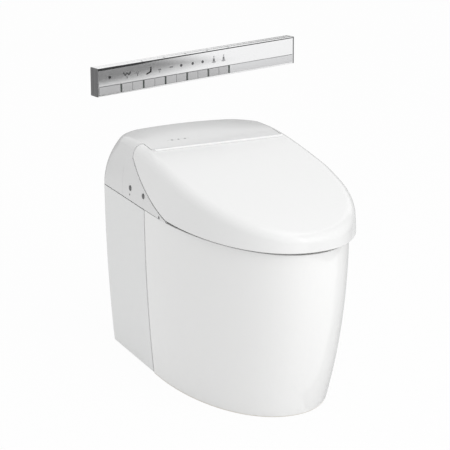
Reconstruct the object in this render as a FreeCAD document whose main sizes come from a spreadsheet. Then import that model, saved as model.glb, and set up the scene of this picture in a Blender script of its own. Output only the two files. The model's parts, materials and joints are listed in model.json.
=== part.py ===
import FreeCAD, Part
import Sketcher
import math
import os
import re
from FreeCAD import Vector

# Smart toilet: skirted china bowl, rear machine bay, powered seat and lid, wash wand and wall remote.
# Origin on the waste outlet axis at floor level, front towards -Y, up +Z, millimetres.

sizes = {
    # Overall envelope
    "half_width": 192,
    "rear_reach": 296,
    "seam_reach": 50,
    "rim_height": 382,
    "panel_gap": 1.5,
    # China bowl
    "rim_front_reach": 389,
    "rim_nose_start": 20,
    "foot_half_width": 174,
    "foot_front_reach": 305,
    "foot_nose_start": 30,
    "nose_power": 2.1,
    "flank_bulge": 2.0,
    "china_wall": 9,
    "deck_thickness": 14,
    "bowl_centre": 195,
    "bowl_half_width": 122,
    "bowl_half_length": 155,
    "bowl_depth": 232,
    "sump_centre": 150,
    "sump_half_width": 42,
    "sump_half_length": 52,
    "basin_upper_drop": 70,
    "basin_upper_draw": 0.06,
    "basin_lower_drop": 140,
    "basin_lower_draw": 0.45,
    "well_drop": 92.5,
    "trap_bore": 27,
    "trap_wall": 8,
    "trap_bend": 40,
    "trap_low": 190,
    "trap_high": 215,
    # Upper form shared by the lid and the rear cover
    "lid_front_reach": 399,
    "lid_nose_start": 37,
    "lid_power": 2.2,
    "lid_lift": 6.5,
    "lid_edge_round": 2,
    "crest_height": 509.5,
    "crest_reach": 130,
    "crest_drop": 3,
    "crest_crown": 10,
    "nose_height": 424,
    "flank_height": 474,
    "flank_reach": 150,
    "tumblehome": 16,
    "rear_lean": 18,
    "corner_radius": 16,
    "corner_swell": 80,
    "shoulder_radius": 24,
    "shell_wall": 3,
    # Parting line between lid and rear cover
    "parting_start": 66,
    "parting_mid_reach": 50,
    "parting_mid_rise": 46,
    "parting_gap": 2.5,
    "ear_gap": 3,
    "ear_reach": 129,
    "ear_rise": 96,
    "lid_rear_edge": 78,
    "tower_half_width": 158,
    "notch_clearance": 2,
    "cover_lift": 1.5,
    "tower_front": 28,
    "tower_brow": 425,
    "tower_neck": 493,
    "lid_lip": 9,
    # Hinge
    "hinge_reach": 116,
    "hinge_height": 498,
    "pin_radius": 4,
    "pin_fit": 0.08,
    "lug_radius": 7.5,
    "lug_thickness": 5.5,
    "lug_gap": 1,
    "pin_root": 128,
    "pin_setback": 1.4,
    # Seat
    "seat_margin": 10,
    "seat_nose_start": 70,
    "seat_thickness": 20,
    "seat_foot": 7,
    "seat_open_centre": 200,
    "seat_open_half_width": 112,
    "seat_open_half_length": 142,
    "seat_rear_reach": 43,
    "seat_edge": 7,
    "arm_clearance": 5,
    "arm_depth": 18,
    "bumper_radius": 8,
    "bumper_gap": 0.2,
    "bumper_front": 290,
    "bumper_front_offset": 113,
    "bumper_rear": 130,
    "bumper_rear_offset": 146,
    "lid_bumper_front": 300,
    "lid_bumper_offset": 96,
    # Rear machine bay
    "side_shell": 3,
    "side_lift": 2,
    "frame_half_width": 150,
    "frame_wall": 3,
    "frame_drop": 0.5,
    "frame_rear_reach": 284,
    "shelf_height": 150,
    "floor_hole_radius": 4.5,
    "floor_hole_pitch_x": 220,
    "floor_hole_pitch_y": 150,
    "tank_half_width": 130,
    "tank_front_reach": 132,
    "tank_rear_reach": 272,
    "tank_height": 170,
    "tank_wall": 4,
    "tank_lid_thickness": 3,
    "valve_offset": 85,
    "valve_radius": 14,
    "valve_bore": 6,
    "valve_collar": 4,
    "float_radius": 32,
    "float_height": 40,
    "float_level": 40,
    "float_clearance": 0.5,
    "inlet_radius": 10.48,
    "inlet_rise": 30,
    "inlet_step": 1.5,
    "inlet_nut": 4,
    "inlet_spigot": 16.7,
    "pump_offset": 60,
    "pump_reach": 92,
    "pump_radius": 28,
    "pump_wall": 3,
    "pump_height": 160,
    "pump_shaft_radius": 4,
    "shaft_fit": 0.06,
    "rotor_clearance": 3,
    "stub_radius": 12,
    "stub_rise": 18,
    "rotor_blades": 9,
    "blade_thickness": 2,
    "seal_width": 4,
    "seal_height": 12,
    "pipe_radius": 14,
    "pipe_wall": 2.5,
    "pipe_drop": 20,
    "hole_clearance": 0.3,
    # Upper machine bay
    "base_thickness": 4,
    "base_front_reach": 20,
    "base_rear_reach": 278,
    "wand_angle": 30,
    "wand_radius": 9,
    "wand_length": 165,
    "wand_pass_reach": 45,
    "wand_pass_height": 396,
    "wand_tip_setback": 22,
    "wand_cap": 4,
    "wand_fit": 0.3,
    "guide_wall": 3,
    "guide_start": 38,
    "guide_length": 112,
    "drive_width": 52,
    "drive_depth": 34,
    "drive_height": 34,
    "drive_below": 29,
    "dryer_offset": 88,
    "dryer_reach": 62,
    "dryer_radius": 38,
    "dryer_height": 40,
    "dryer_wall": 2.5,
    "duct_half_width": 24,
    "duct_height": 22,
    "duct_rise": 6,
    "flap_thickness": 2.5,
    "flap_gap": 0.6,
    "flap_pin_radius": 2,
    "flap_ear": 5,
    "wand_bore": 5,
    "pedestal_reach": 30,
    "pedestal_half_width": 8,
    "motor_width": 30,
    "motor_reach": 60,
    "motor_height": 446,
    "motor_depth": 24,
    "heater_width": 60,
    "heater_depth": 96,
    "heater_height": 62,
    "heater_offset": 105,
    "unit_reach": 150,
    "board_half_width": 60,
    "board_depth": 96,
    "board_thickness": 2,
    "supply_height": 50,
    "gland_offset": 150,
    "gland_height": 402,
    "gland_radius": 7,
    "gland_bore": 4,
    # Side buttons and indicator
    "button_radius": 5.8,
    "button_flange": 8,
    "button_height": 412,
    "button_front_reach": 52.5,
    "button_rear_reach": 126.5,
    "button_proud": 1.2,
    "button_seat": 1.8,
    "button_travel": 1.5,
    "button_depth": 9,
    "lens_half_length": 26,
    "lens_half_width": 4,
    "lens_offset": 73,
    "lens_reach": 130,
    "lens_depth": 4,
    # Wall remote
    "wall_reach": 305,
    "remote_centre": 39,
    "remote_height": 636,
    "remote_turn": 14,
    "remote_length": 575,
    "remote_face": 64,
    "remote_depth": 26,
    "remote_wall": 2.5,
    "remote_split": 12,
    "key_row": 18.5,
    "key_row_margin": 3,
    "key_margin": 5,
    "key_pitch": 29,
    "key_count": 10,
    "key_gap": 1,
    "pair_gap": 4,
    "key_proud": 0.8,
    "key_flange": 1.6,
    "key_travel": 1,
    "key_depth": 6,
    "pcb_thickness": 1.6,
    "pcb_margin": 12,
    "cell_radius": 7,
    "cell_length": 50,
    "bracket_thickness": 3,
    "bracket_half_length": 60,
    "bracket_half_height": 20,
    "bracket_hole_radius": 2.2,
    "bracket_hole_pitch": 80,
    "hook_half_width": 4,
    "hook_depth": 4,
    "hook_height": 24,
    "hook_pitch": 50,
    "hook_clearance": 0.3,
    "hook_head": 3,
    "hook_head_depth": 1.4,
    "cell_rise": 16,
    "cell_gap": 2,
}

doc = FreeCAD.newDocument("smart_toilet")
sheet = doc.addObject("Spreadsheet::Sheet", "Sizes")
for row, (alias, value) in enumerate(sizes.items(), start=1):
    sheet.set("A%d" % row, alias)
    sheet.set("B%d" % row, str(value))
    sheet.setAlias("B%d" % row, alias)
doc.recompute()


def d(alias):
    """Read one driving dimension from the sheet."""
    return float(sheet.get(alias))


def bind(obj, prop, text):
    """Bind a property to an expression written in sheet aliases."""
    obj.setExpression(prop, re.sub(r"[a-z]+(_[a-z]+)+", lambda m: "Sizes." + m.group(0), text))


def place(obj, x, y, z):
    """Bind the position of an object to expressions."""
    bind(obj, "Placement.Base.x", x)
    bind(obj, "Placement.Base.y", y)
    bind(obj, "Placement.Base.z", z)
    return obj


def box(name, x, y, z, length, width, height):
    """Box from its low corner and its bound edge lengths."""
    obj = doc.addObject("Part::Box", name)
    bind(obj, "Length", length)
    bind(obj, "Width", width)
    bind(obj, "Height", height)
    return place(obj, x, y, z)


def rod(name, axis, x, y, z, radius, length):
    """Cylinder along +X, +Y or +Z from the centre of its first end."""
    obj = doc.addObject("Part::Cylinder", name)
    bind(obj, "Radius", radius)
    bind(obj, "Height", length)
    turn = {"x": (Vector(0, 1, 0), 90), "y": (Vector(1, 0, 0), -90), "z": (Vector(0, 0, 1), 0)}
    obj.Placement.Rotation = FreeCAD.Rotation(*turn[axis])
    return place(obj, x, y, z)


def cut(name, base, tool):
    """Difference of two objects."""
    obj = doc.addObject("Part::Cut", name)
    obj.Base = base
    obj.Tool = tool
    return obj


def fuse(name, *pieces):
    """Union of several objects."""
    obj = doc.addObject("Part::MultiFuse", name)
    obj.Shapes = list(pieces)
    return obj


def solid(name, shape):
    """Keep a shaped solid as a document object."""
    obj = doc.addObject("Part::Feature", name)
    obj.Shape = shape.removeSplitter()
    return obj


nodes = []


def node(name, obj):
    """Name the finished sub-part."""
    obj.Label = name
    nodes.append(obj)


def slab(x0, x1, y0, y1, z0, z1):
    """Plain block between two corners, for shaped solids."""
    return Part.makeBox(x1 - x0, y1 - y0, z1 - z0, Vector(x0, y0, z0))


# Plan outlines


def nose(half, start, front, power, z):
    """Front half of a superellipse from the left flank to the right flank."""
    steps = 16
    points = []
    for i in range(steps + 1):
        angle = math.pi * i / steps
        across = -math.copysign(abs(math.cos(angle)) ** (2 / power), math.cos(angle)) * half
        along = start - (start - front) * math.sin(angle) ** (2 / power)
        points.append(Vector(across, along, z))
    curve = Part.BSplineCurve()
    curve.interpolate(Points=points, InitialTangent=Vector(0, -1, 0), FinalTangent=Vector(0, 1, 0))
    return curve.toShape()


def outline(half, start, front, rear, corner, power, z):
    """Closed plan outline: straight rear, rounded rear corners, straight flanks and a curved nose."""
    turn = corner * (1 - math.sqrt(0.5))
    left = Vector(-half, rear - corner, z)
    left_rear = Vector(-half + corner, rear, z)
    right_rear = Vector(half - corner, rear, z)
    right = Vector(half, rear - corner, z)
    edges = [
        Part.makeLine(right_rear, left_rear),
        Part.Arc(left_rear, Vector(-half + turn, rear - turn, z), left).toShape(),
        Part.makeLine(left, Vector(-half, start, z)),
        nose(half, start, front, power, z),
        Part.makeLine(Vector(half, start, z), right),
        Part.Arc(right, Vector(half - turn, rear - turn, z), right_rear).toShape(),
    ]
    return Part.Wire(edges)


def oval(half_width, half_length, centre, z):
    """Closed ellipse, long along Y."""
    long_end = Vector(0, centre + half_length, z)
    side = Vector(half_width, centre, z)
    return Part.Wire(Part.Ellipse(long_end, side, Vector(0, centre, z)).toShape())


# China bowl

rim = d("rim_height")
seam = d("seam_reach")
gap = d("panel_gap")
half = d("half_width")
rear = d("rear_reach")
front_end = -d("rim_front_reach")


def skirt_half(z):
    """Half width of the skirt at a height: it draws in towards the floor."""
    fall = (1 - max(0, min(z, rim)) / rim) ** d("flank_bulge")
    return half - (half - d("foot_half_width")) * fall


def skirt_section(z, inset, back, corner):
    """Skirt outline at a height, moved inwards by an inset."""
    level = max(0, min(z, rim)) / rim
    fall = (1 - level) ** d("flank_bulge")
    front = -d("rim_front_reach") + (d("rim_front_reach") - d("foot_front_reach")) * fall
    start = d("foot_nose_start") * (1 - level) + d("rim_nose_start") * level
    return outline(skirt_half(z) - inset, start, front + inset, back, corner, d("nose_power"), z)


def skirt(inset, back, low, high):
    """Solid skirt between two heights."""
    levels = [low + (high - low) * i / 3 for i in range(4)]
    return Part.makeLoft([skirt_section(z, inset, back, 4) for z in levels], True, False)


def basin(wall):
    """Inside of the bowl, or its outside when a wall is added."""
    top = rim + 1
    floor = rim - d("bowl_depth")
    upper = (d("basin_upper_draw"), rim - d("basin_upper_drop"))
    lower = (d("basin_lower_draw"), rim - d("basin_lower_drop"))
    shares = [(0.0, top), upper, lower, (1.0, floor - wall)]
    wires = []
    for share, z in shares:
        wide = d("bowl_half_width") + (d("sump_half_width") - d("bowl_half_width")) * share
        long = d("bowl_half_length") + (d("sump_half_length") - d("bowl_half_length")) * share
        centre = -d("bowl_centre") + (d("bowl_centre") - d("sump_centre")) * share
        wires.append(oval(wide + wall, long + wall, centre, z))
    return Part.makeLoft(wires, True, False)


def trap(radius, end):
    """Trapway pipe: down from the sump, up over the weir and down to the outlet."""
    bend = d("trap_bend")
    low = d("trap_low")
    high = d("trap_high")
    dip = Vector(0, -3 * bend, low - bend)
    weir = Vector(0, -bend, high + bend)
    start = Vector(0, -4 * bend, low)
    rise = Vector(0, -2 * bend, low)
    crest = Vector(0, -2 * bend, high)
    fall = Vector(0, 0, high)
    path = Part.Wire([
        Part.Arc(start, dip, rise).toShape(),
        Part.makeLine(rise, crest),
        Part.Arc(crest, weir, fall).toShape(),
        Part.makeLine(fall, Vector(0, 0, end)),
    ])
    ring = Part.Wire(Part.makeCircle(radius, start, Vector(0, 0, 1)))
    return path.makePipeShell([ring], True, False)


china_rear = seam - gap / 2
deck_low = rim - d("deck_thickness")
pipe_z = d("shelf_height") + d("pump_height") - d("pipe_drop")
pipe_hole = Part.makeCylinder(d("pipe_radius") + d("hole_clearance"),
                              2 * seam + d("bowl_centre") - d("sump_centre"),
                              Vector(d("pump_offset"), seam + 1, pipe_z), Vector(0, -1, 0))
hollow = skirt(d("china_wall"), china_rear - d("china_wall"), -1, rim + 1)
node("bowl_body", solid("Bowl", skirt(0, china_rear, 0, rim).cut([hollow, pipe_hole])))
deck = hollow.common(slab(-half, half, front_end, seam, deck_low, rim))
node("bowl_deck", solid("Deck", deck.cut(basin(0))))
well_top = rim - d("well_drop")
bore = trap(d("trap_bore"), -1)
cup = basin(d("china_wall")).cut([basin(0), bore, pipe_hole])
node("bowl_basin", solid("Basin", cup.common(slab(-half, half, front_end, seam, well_top, deck_low))))
node("bowl_well", solid("Well", cup.common(slab(-half, half, front_end, seam, 0, well_top))))
way = trap(d("trap_bore") + d("trap_wall"), 0)
node("bowl_trapway", solid("Trapway", way.cut([bore, basin(d("china_wall"))])))


# Upper form: one shape that the lid and the rear cover are parted from

nose_reach = -d("lid_front_reach")
crest_line = Part.BSplineCurve()
crest_line.interpolate([
    Vector(0, nose_reach - half / 5, d("nose_height") - half / 16),
    Vector(0, nose_reach, d("nose_height")),
    Vector(0, -d("flank_reach"), d("flank_height")),
    Vector(0, d("crest_reach"), d("crest_height")),
    Vector(0, rear + half / 10, d("crest_height") - d("crest_drop")),
])
crest_edge = crest_line.toShape()
sky = 2 * d("crest_height")


def crest(y):
    """Height of the crest line over the middle of the upper form."""
    plumb = Part.makeLine(Vector(0, y, 0), Vector(0, y, sky))
    return crest_edge.distToShape(plumb)[1][0][0].z


def flanks(inset):
    """Leaning side walls of the upper form, open above the crest."""
    rise = d("crest_height") - rim
    wires = []
    for level in (0, 0.5, 1.1):
        lean = level ** 2
        draw = d("tumblehome") * lean + inset
        corner = d("corner_radius") + d("corner_swell") * lean - inset
        wires.append(outline(half - draw, -d("lid_nose_start"), nose_reach + draw,
                             rear - d("rear_lean") * lean - inset, corner, d("lid_power"),
                             rim + rise * level - inset))
    return Part.makeLoft(wires, True, False)


def above_crest(inset):
    """Everything above the crest surface, which is flat in front and crowned at the rear."""
    reach = half * 1.15
    stations = [nose_reach - half / 10, nose_reach * 0.75, -d("flank_reach"), 0, d("crest_reach")]
    stations += [(d("crest_reach") + rear) / 2, rear + half / 20]
    wires = []
    for y in stations:
        back = max(0, (y - d("crest_reach")) / (rear - d("crest_reach")))
        sag = 1 + d("crest_crown") * 1.6 * min(1, back)
        low = crest(y) - inset
        left = Vector(-reach, y, low - sag)
        right = Vector(reach, y, low - sag)
        arc = Part.Arc(left, Vector(0, y, low), right).toShape()
        wires.append(Part.Wire([arc, Part.makeLine(right, Vector(reach, y, sky)),
                                Part.makeLine(Vector(reach, y, sky), Vector(-reach, y, sky)),
                                Part.makeLine(Vector(-reach, y, sky), left)]))
    return Part.makeLoft(wires, True, False)


def upward(face):
    """How far a face looks up, weighed by its area."""
    low_u, high_u, low_v, high_v = face.ParameterRange
    return face.normalAt((low_u + high_u) / 2, (low_v + high_v) / 2).z * face.Area


def upper_form(inset):
    """Upper form with rounded shoulders, moved inwards by an inset."""
    shape = flanks(inset).cut(above_crest(inset))
    top = max(shape.Faces, key=upward)
    return shape.makeFillet(d("shoulder_radius") - inset, top.OuterWire.Edges)


shell = d("shell_wall")
outside = upper_form(0)
inside = upper_form(shell)
lid_low = rim + d("lid_lift")
front = nose_reach - half
tower = d("tower_half_width")
notch = tower + d("notch_clearance")
ear = d("ear_reach")
lid_edge = d("lid_rear_edge")
parting_drop = Vector(0, 0.44, -0.9)


def parting(offset):
    """Swept parting curve between lid and cheek, moved down and back by an offset."""
    shift = parting_drop * offset
    start = Vector(0, -d("parting_start"), lid_low) + shift
    middle = Vector(0, d("parting_mid_reach"), rim + d("parting_mid_rise")) + shift
    end = Vector(0, ear, rim + d("ear_rise")) + shift
    return start, Part.Arc(start, middle, end).toShape(), end


def side_prism(corners, curve, x0, x1):
    """Side-view outline, closed by a curve when one is given, drawn out along X."""
    edges = [Part.makeLine(a, b) for a, b in zip(corners, corners[1:])]
    edges.append(curve if curve else Part.makeLine(corners[-1], corners[0]))
    face = Part.Face(Part.Wire(Part.__sortEdges__(edges)))
    face.translate(Vector(x0, 0, 0))
    return face.extrude(Vector(x1 - x0, 0, 0))


def at(y, z):
    """Point in the side view."""
    return Vector(0, y, z)


def pin_rod(radius, x0, x1):
    """Cylinder on the hinge axis."""
    return Part.makeCylinder(radius, x1 - x0, Vector(x0, d("hinge_reach"), d("hinge_height")),
                             Vector(1, 0, 0))


def both_sides(shape):
    """A right-hand shape and its mirror image."""
    return [shape, shape.mirror(Vector(0, 0, 0), Vector(1, 0, 0))]


# Lid

start, curve, end = parting(0)
lid_region = side_prism([end, at(ear, sky), at(front, sky), at(front, lid_low), start], curve, -2 * half,
                        2 * half)
lower_line = Part.Wire([Part.makeLine(at(front, lid_low), start), curve])


def on_lower_edge(edge):
    """Whether an edge of the lid's form runs round its lower side, and not across it."""
    away = [Part.Vertex(at(p.y, p.z)).distToShape(lower_line)[0] for p in edge.discretize(5)]
    return max(away) < shell / 100 and edge.BoundBox.YLength > shell


lid = outside.common(lid_region)
lid = lid.makeFillet(d("lid_edge_round"), [edge for edge in lid.Edges if on_lower_edge(edge)])
lid = lid.cut(inside.common(slab(-2 * half, 2 * half, front, ear - shell, 0, sky)))
lid = lid.cut(slab(-notch, notch, lid_edge, rear, 0, sky))
lip_low = crest(lid_edge) - shell - d("lid_lip")
lid = lid.fuse(slab(-notch, notch, lid_edge - shell, lid_edge, lip_low, sky).common(outside))
hinge_line = d("hinge_height")
swing = ear + d("ear_gap") * 0.75 - d("hinge_reach")
above_hinge = slab(-2 * half, 2 * half, d("hinge_reach"), 2 * rear, hinge_line, sky)
lid = lid.cut(above_hinge.cut(pin_rod(swing, -2 * half, 2 * half)))
seat_lug = tower + d("notch_clearance") - d("pin_fit") * 5
lid_lug = seat_lug + d("lug_thickness") + d("lug_gap")
knuckle_room = pin_rod(d("lug_radius") + d("lug_gap") / 2, tower, lid_lug - d("lug_gap") / 2)
arm_room = slab(tower, lid_lug - d("lug_gap") / 2, d("hinge_reach"), 2 * rear, 0,
                hinge_line + d("lug_radius") / 2)
lid = lid.cut(both_sides(knuckle_room) + both_sides(arm_room))
lug_web = slab(lid_lug, lid_lug + d("lug_thickness"), d("hinge_reach") - d("lug_radius"), ear,
               d("hinge_height"), sky)
lid_knuckle = pin_rod(d("lug_radius"), lid_lug, lid_lug + d("lug_thickness")).fuse(lug_web).common(outside)
lid = lid.fuse(both_sides(lid_knuckle))
pin_end = lid_lug + d("lug_thickness") - d("pin_setback") / 2
lid = lid.cut(both_sides(pin_rod(d("pin_radius") + d("pin_fit"), 0, pin_end)))
node("lid", solid("Lid", lid))

seat_top = rim + d("seat_foot") + d("seat_thickness")
lid_post = Part.makeCylinder(d("bumper_radius"), sky - seat_top,
                             Vector(d("lid_bumper_offset"), -d("lid_bumper_front"),
                                    seat_top + d("bumper_gap")))
lid_feet = [foot.common(inside) for foot in both_sides(lid_post)]
lid_bumpers = doc.addObject("Part::Feature", "LidBumpers")
lid_bumpers.Shape = Part.makeCompound(lid_feet)
node("lid_bumpers", lid_bumpers)

# Rear cover with its cheeks, and the housing under the lid that carries the wand port and the dryer outlet

cover_low = rim + d("cover_lift")


def cover_form(form, offset):
    """Rear region and tower cut from the upper form, both moved inwards by an offset."""
    low = 0
    start, curve, end = parting(d("parting_gap") + offset)
    back = ear + d("ear_gap") + offset
    region = side_prism([end, at(back, end.z + 1), at(back, sky), at(2 * rear, sky), at(2 * rear, low),
                         at(start.y, low), start], curve, -2 * half, 2 * half)
    face = -d("tower_front") + offset
    neck = lid_edge + d("parting_gap") + offset
    block = side_prism([at(face, low), at(face, d("tower_brow") - offset),
                        at(neck, d("tower_neck") - 1.5 * offset), at(neck, sky), at(back + shell, sky),
                        at(back + shell, low)], None, -tower + offset, tower - offset)
    return form.common(region.fuse(block))


cover = cover_form(outside, 0).cut(cover_form(inside, shell))
cover = cover.cut(slab(-2 * half, 2 * half, front, 2 * rear, 0, cover_low))
cover = cover.cut(slab(-tower, tower, front, -d("tower_front"), 0, sky))
boss_inner = tower - d("lug_thickness") * 3
cover = cover.fuse(both_sides(pin_rod(d("lug_radius") + 1, boss_inner, tower - shell / 2)))
cover = cover.cut(both_sides(pin_rod(d("pin_radius"), 0, half)))

wand_way = Vector(0, math.cos(math.radians(d("wand_angle"))), math.sin(math.radians(d("wand_angle"))))
wand_pass = Vector(0, -d("wand_pass_reach"), d("wand_pass_height"))
wand_port = Part.makeCylinder(d("wand_radius") + 2 * d("wand_fit") + 1, 2 * d("guide_start"), wand_pass,
                              wand_way)
cover = cover.cut(wand_port)
duct_low = rim + d("base_thickness") + d("duct_rise")
duct_left = d("dryer_offset") - d("duct_half_width")
duct_right = d("dryer_offset") + d("duct_half_width")
fit = d("hole_clearance")
cover = cover.cut(slab(duct_left - fit, duct_right + fit, -d("tower_front") - 1,
                       -d("tower_front") + 2 * shell, duct_low - fit, duct_low + d("duct_height") + fit))
flap_axis = Vector(0, -d("tower_front") - d("flap_gap") - d("flap_thickness") / 2,
                   duct_low + d("duct_height") + d("flap_ear"))
for x in (duct_left - d("flap_ear"), duct_right):
    cover = cover.fuse(slab(x, x + d("flap_ear"), flap_axis.y - d("flap_ear") / 1.2,
                            -d("tower_front") + shell / 2, flap_axis.z - d("flap_ear") / 1.2,
                            flap_axis.z + d("flap_ear") / 1.2))
cover = cover.cut(Part.makeCylinder(d("flap_pin_radius") + d("shaft_fit"), 2 * half,
                                    Vector(0, flap_axis.y, flap_axis.z), Vector(1, 0, 0)))
for reach in (d("button_front_reach"), d("button_rear_reach")):
    cover = cover.cut(Part.makeCylinder(d("button_radius") + fit, half / 2,
                                        Vector(-2 * half / 1.5, reach, d("button_height")),
                                        Vector(1, 0, 0)))


def lens_block(grow):
    """Window block through the rear cover's top, wider all round by a clearance."""
    return slab(-d("lens_offset") - d("lens_half_length") - grow,
                -d("lens_offset") + d("lens_half_length") + grow,
                d("lens_reach") - d("lens_half_width") - grow,
                d("lens_reach") + d("lens_half_width") + grow,
                crest(d("lens_reach")) - d("lens_depth") - grow, sky)


cover = cover.cut(lens_block(fit))
cover = cover.cut(Part.makeCylinder(d("gland_radius") + fit, rear,
                                    Vector(d("gland_offset"), rear / 2, d("gland_height")),
                                    Vector(0, 1, 0)))
under_lid = slab(-tower, tower, front, lid_edge + d("parting_gap"), 0, sky)
node("rear_cover", solid("RearCover", cover.cut(under_lid)))
node("tower_housing", solid("TowerHousing", cover.common(under_lid)))

# Seat: heated ring open at the rear, with two swept arms to the hinge

margin = d("seat_margin")
seat_low = rim + d("seat_foot")
seat_half = half - margin
rear_edge = -d("seat_rear_reach")
open_half = d("seat_open_half_width")
open_centre = -d("seat_open_centre")
open_oval = Part.Ellipse(Vector(0, open_centre + d("seat_open_half_length"), seat_low),
                         Vector(open_half, open_centre, seat_low), Vector(0, open_centre, seat_low))
corners = [Vector(seat_half, -d("seat_nose_start"), seat_low), Vector(seat_half, rear_edge, seat_low),
           Vector(open_half, rear_edge, seat_low), Vector(open_half, open_centre, seat_low)]
right_leg = [Part.makeLine(a, b) for a, b in zip(corners, corners[1:])]
left_leg = [edge.mirror(Vector(0, 0, 0), Vector(1, 0, 0)) for edge in right_leg]
horseshoe = [nose(seat_half, -d("seat_nose_start"), nose_reach + margin, d("lid_power"), seat_low)]
horseshoe += right_leg + [open_oval.toShape(math.pi / 2, 3 * math.pi / 2)] + left_leg
ring = Part.Face(Part.Wire(Part.__sortEdges__(horseshoe))).extrude(Vector(0, 0, d("seat_thickness")))
crown = [e for e in ring.Edges if min(v.Z for v in e.Vertexes) > seat_top - 0.1]
ring = ring.makeFillet(d("seat_edge"), crown)
start, curve, end = parting(0)
cheek_room = side_prism([end, at(end.y, 0), at(start.y, 0), start], curve, -2 * half, 2 * half)
ring = ring.cut(cheek_room)
arm_start, arm_low, arm_end = parting(-d("arm_clearance"))
roof_start, arm_high, roof_end = parting(-d("arm_clearance") - d("arm_depth"))
arm_face = Part.Face(Part.Wire(Part.__sortEdges__([arm_low, Part.makeLine(arm_end, roof_end), arm_high,
                                                   Part.makeLine(roof_start, arm_start)])))
arm_face.translate(Vector(seat_lug, 0, 0))
arm = arm_face.extrude(Vector(d("lug_thickness"), 0, 0))
arm = arm.common(slab(0, half, front, d("hinge_reach"), seat_low, sky))
web = slab(seat_lug, seat_lug + d("lug_thickness"), d("hinge_reach") - d("lug_radius"), d("hinge_reach"),
           d("hinge_height") - d("lug_radius") - d("arm_depth"), d("hinge_height"))
knuckle = pin_rod(d("lug_radius"), seat_lug, seat_lug + d("lug_thickness"))
seat = ring.fuse(both_sides(arm.fuse([web, knuckle])))
seat = seat.cut(both_sides(pin_rod(d("pin_radius") + d("pin_fit"), 0, half)))
node("seat", solid("Seat", seat))

feet = []
for name, y in (("front", "-bumper_front"), ("rear", "-bumper_rear")):
    for side, hand in ((-1, "left"), (1, "right")):
        feet.append(rod("SeatFoot_%s_%s" % (name, hand), "z", "%d * bumper_%s_offset" % (side, name), y,
                        "rim_height + bumper_gap", "bumper_radius", "seat_foot - bumper_gap"))
seat_bumpers = doc.addObject("Part::Compound", "SeatBumpers")
seat_bumpers.Links = feet
node("seat_bumpers", seat_bumpers)

# Hinge pins and the two drives that hold them

pin_length = "tower_half_width + notch_clearance + 2 * lug_thickness + lug_gap - pin_setback - pin_root"
for name, x in (("left", "-pin_root - (%s)" % pin_length), ("right", "pin_root")):
    node("hinge_pin_" + name, rod("HingePin_" + name, "x", x, "hinge_reach", "hinge_height", "pin_radius",
                                  pin_length))
for name, x in (("seat_drive", "-pin_root - drive_width * 0.1"),
                ("lid_drive", "pin_root - drive_width * 0.9")):
    case = box("Case_" + name, x, "hinge_reach - drive_depth / 2", "hinge_height - drive_below",
               "drive_width", "drive_depth", "drive_height")
    bore = rod("Bore_" + name, "x", "-half_width", "hinge_reach", "hinge_height", "pin_radius",
               "2 * half_width")
    node(name, cut("Drive_" + name, case, bore))

# Side covers over the rear machine bay

cover_top = rim - gap / 2


def bay_section(z, inset, front_edge):
    """Machine bay outline at a height: straight flanks and rounded rear corners."""
    across = skirt_half(z) - inset
    back = rear - inset
    corner = d("corner_radius") - inset
    turn = corner * (1 - math.sqrt(0.5))
    ring = [Vector(-across, front_edge, z), Vector(-across, back - corner, z),
            Vector(-across + corner, back, z), Vector(across - corner, back, z),
            Vector(across, back - corner, z), Vector(across, front_edge, z)]
    edges = [
        Part.makeLine(ring[0], ring[1]),
        Part.Arc(ring[1], Vector(-across + turn, back - turn, z), ring[2]).toShape(),
        Part.makeLine(ring[2], ring[3]),
        Part.Arc(ring[3], Vector(across - turn, back - turn, z), ring[4]).toShape(),
        Part.makeLine(ring[4], ring[5]),
        Part.makeLine(ring[5], ring[0]),
    ]
    return Part.Wire(edges)


def bay(inset, front_edge, low, high):
    """Machine bay solid between two heights."""
    levels = [low + (high - low) * i / 3 for i in range(4)]
    return Part.makeLoft([bay_section(z, inset, front_edge) for z in levels], True, False)


bay_out = bay(0, seam + gap / 2, d("side_lift"), cover_top)
panel = bay_out.cut(bay(d("side_shell"), seam - 1, d("side_lift"), cover_top))
shelf_edge = d("frame_half_width") + fit
for level in (0.25, 0.8):
    z = rim * level
    panel = panel.fuse(slab(-half, half, seam + 4 * d("side_shell"), rear - 4 * d("side_shell"), z,
                            z + d("side_shell")).common(bay_out))
for side, name in ((-1, "left"), (1, "right")):
    low, high = sorted((side * shelf_edge, side * 2 * half))
    node("side_cover_" + name, solid("SideCover" + name.title(),
                                     panel.common(slab(low, high, 0, 2 * rear, 0, sky))))

# Rear frame: folded steel tray bolted to the floor, with the tank shelf

tray = box("FrameTray", "-frame_half_width", "seam_reach", "0", "2 * frame_half_width",
           "frame_rear_reach - seam_reach", "rim_height - frame_drop")
tray_room = box("FrameRoom", "-frame_half_width + frame_wall", "seam_reach + frame_wall", "frame_wall",
                "2 * frame_half_width - 2 * frame_wall", "frame_rear_reach", "rim_height")
shelf = box("FrameShelf", "-frame_half_width + frame_wall / 2", "seam_reach + frame_wall / 2",
            "shelf_height - frame_wall", "2 * frame_half_width - frame_wall",
            "frame_rear_reach - seam_reach - frame_wall / 2", "frame_wall")
pipe_level = "shelf_height + pump_height - pipe_drop"
frame_holes = [rod("FramePipeHole", "y", "pump_offset", "0", pipe_level, "pipe_radius + hole_clearance",
                   "2 * seam_reach")]
for i, (sx, sy) in enumerate(((-1, -1), (-1, 1), (1, -1), (1, 1))):
    frame_holes.append(rod("FloorHole%d" % i, "z", "%d * floor_hole_pitch_x / 2" % sx,
                           "(seam_reach + frame_rear_reach) / 2 + %d * floor_hole_pitch_y / 2" % sy,
                           "-frame_wall", "floor_hole_radius", "3 * frame_wall"))
body = fuse("FrameBody", cut("FrameFold", tray, tray_room), shelf)
node("rear_frame", cut("RearFrame", body, fuse("FrameHoles", *frame_holes)))

# Flush tank, its lid, fill valve and float

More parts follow.
